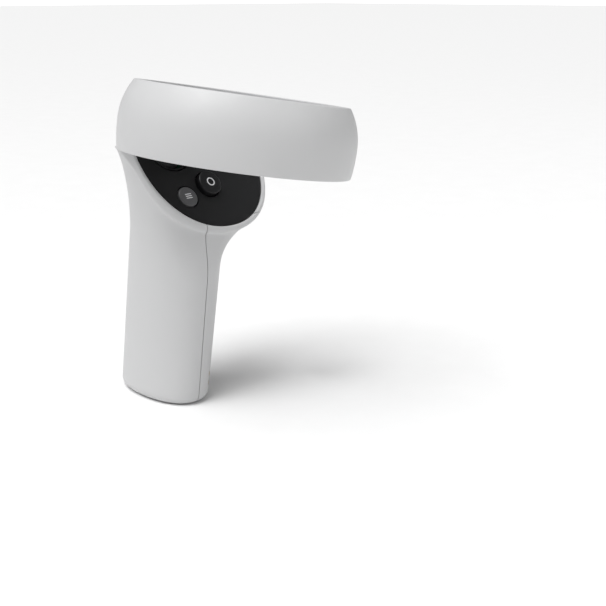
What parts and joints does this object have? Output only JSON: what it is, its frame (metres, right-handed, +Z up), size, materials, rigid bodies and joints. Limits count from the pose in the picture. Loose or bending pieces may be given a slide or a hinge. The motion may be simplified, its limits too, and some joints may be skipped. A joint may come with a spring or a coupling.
{
  "type": "vr motion controller",
  "caption": "Left-hand motion controller: upright handle, tilted black face plate with stick and buttons, trigger, grip lever, tracking ring and removable battery cover.",
  "frame": {"origin": "middle of the flat foot of the handle, which sits in a dock", "axes": "+Z up along the handle, +X to the finger side (the right of a left-hand controller), +Y away from the user to the trigger side"},
  "size_m": [0.0926, 0.0955, 0.1285],
  "materials": {
    "white_shell": "fine satin moulded white",
    "grey_liner": "satin light grey",
    "face_black": "soft-touch satin black",
    "button_black": "satin black",
    "stick_rubber": "matt grippy rubber",
    "membrane_rubber": "translucent grey silicone",
    "dark_plastic": "textured dark plastic",
    "cell_black": "shrink-wrapped black film",
    "steel": "bright nickel-plated",
    "gold": "gold-plated",
    "board": "solder-masked circuit board",
    "flex": "amber flexible circuit"
  },
  "bodies": {
    "controller": {"palm_shell": "white_shell", "finger_shell": "white_shell", "strap_bar": "steel", "trigger_pin": "steel", "trigger_spring": "steel", "grip_pin": "steel", "grip_spring": "steel", "inner_frame": "dark_plastic", "frame_screw_1": "steel", "frame_screw_2": "steel", "haptic_motor": "steel", "battery_cell": "cell_black", "cell_pad_upper": "steel", "cell_pad_lower": "steel", "cell_nub": "steel", "battery_spring": "steel", "battery_contact": "gold", "stick_bezel": "face_black", "stick_module": "dark_plastic", "face_plate": "face_black", "button_membrane": "membrane_rubber", "main_board": "board", "ring_outer_shell": "white_shell", "ring_liner": "grey_liner", "ring_led_strip": "flex"},
    "cover": {"battery_cover": "white_shell", "cover_bracket": "white_shell", "bracket_screw_1": "dark_plastic", "bracket_screw_2": "dark_plastic", "bracket_screw_3": "dark_plastic", "contact_leaf_front": "gold", "contact_leaf_back": "gold", "charge_wire_front": "flex", "charge_wire_back": "flex", "charge_block": "dark_plastic", "charge_pin_1": "gold", "charge_pin_2": "gold", "charge_pin_3": "gold", "charge_pin_4": "gold", "charge_pin_5": "gold", "charge_pin_6": "gold"},
    "trigger": {"trigger": "white_shell"},
    "grip": {"grip_button": "white_shell"},
    "stick_yoke": {"stick_yoke": "dark_plastic"},
    "stick_rocker": {"stick_rocker": "steel"},
    "thumbstick": {"thumbstick": "stick_rubber"},
    "x_button": {"x_button": "button_black"},
    "y_button": {"y_button": "button_black"},
    "menu_button": {"menu_button": "button_black"}
  },
  "joints": [
    {"name": "stick_tilt_up_down", "type": "hinge", "parent": "controller", "child": "stick_yoke", "pos_m": [0.00474, 0.00603, 0.09397], "axis": [0.9983, 0.0576, 0], "range_deg": [-14, 14], "stiffness_Nm_per_rad": 0.02},
    {"name": "stick_tilt_left_right", "type": "hinge", "parent": "stick_yoke", "child": "stick_rocker", "pos_m": [0.00474, 0.00603, 0.09397], "axis": [-0.035, 0.6064, 0.7944], "range_deg": [-14, 14], "stiffness_Nm_per_rad": 0.02},
    {"name": "stick_press", "type": "slide", "parent": "stick_rocker", "child": "thumbstick", "axis": [-0.0457, 0.7931, -0.6074], "range_m": [0, 0.0005], "stiffness_N_per_m": 900, "springref_m": -0.0006},
    {"name": "x_button_press", "type": "slide", "parent": "controller", "child": "x_button", "axis": [-0.0457, 0.7931, -0.6074], "range_m": [0, 0.0012], "stiffness_N_per_m": 250, "springref_m": -0.0006},
    {"name": "y_button_press", "type": "slide", "parent": "controller", "child": "y_button", "axis": [-0.0457, 0.7931, -0.6074], "range_m": [0, 0.0012], "stiffness_N_per_m": 250, "springref_m": -0.0006},
    {"name": "menu_button_press", "type": "slide", "parent": "controller", "child": "menu_button", "axis": [-0.0457, 0.7931, -0.6074], "range_m": [0, 0.0004], "stiffness_N_per_m": 300, "springref_m": -0.0006},
    {"name": "trigger_pull", "type": "hinge", "parent": "controller", "child": "trigger", "pos_m": [0.019, 0.0125, 0.091], "axis": [-1, 0, 0], "range_deg": [0, 14], "stiffness_Nm_per_rad": 0.05, "springref_deg": -20.05},
    {"name": "grip_squeeze", "type": "hinge", "parent": "controller", "child": "grip", "pos_m": [0.01686, 0.00209, 0.0646], "axis": [0, 1, 0], "range_deg": [0, 8], "stiffness_Nm_per_rad": 0.08, "springref_deg": -20.05},
    {"name": "battery_cover_slide", "type": "slide", "parent": "controller", "child": "cover", "axis": [-0.0994, 0.0447, -0.994], "range_m": [0, 0.08]}
  ]
}
